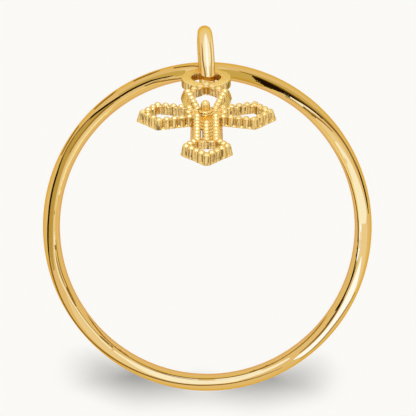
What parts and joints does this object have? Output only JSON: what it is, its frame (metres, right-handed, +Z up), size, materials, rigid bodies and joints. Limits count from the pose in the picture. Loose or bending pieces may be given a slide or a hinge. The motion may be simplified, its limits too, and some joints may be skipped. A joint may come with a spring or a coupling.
{
  "type": "cross charm ring",
  "caption": "Slim half-round finger ring with a soldered wire loop that carries a small openwork beaded cross charm.",
  "frame": {"origin": "centre of the finger hole, in the plane of the band's flat edge that rests on the floor", "axes": "+Z up, along the axis of the finger hole; +Y from the finger hole towards the loop; +X across"},
  "size_m": [0.019, 0.0206, 0.0133],
  "materials": {
    "band_gold": "mirror-polished yellow gold",
    "charm_gold": "as-cast satin yellow gold with polished beads"
  },
  "bodies": {
    "root": {"band": "band_gold", "cross_charm": "charm_gold"}
  },
  "joints": []
}
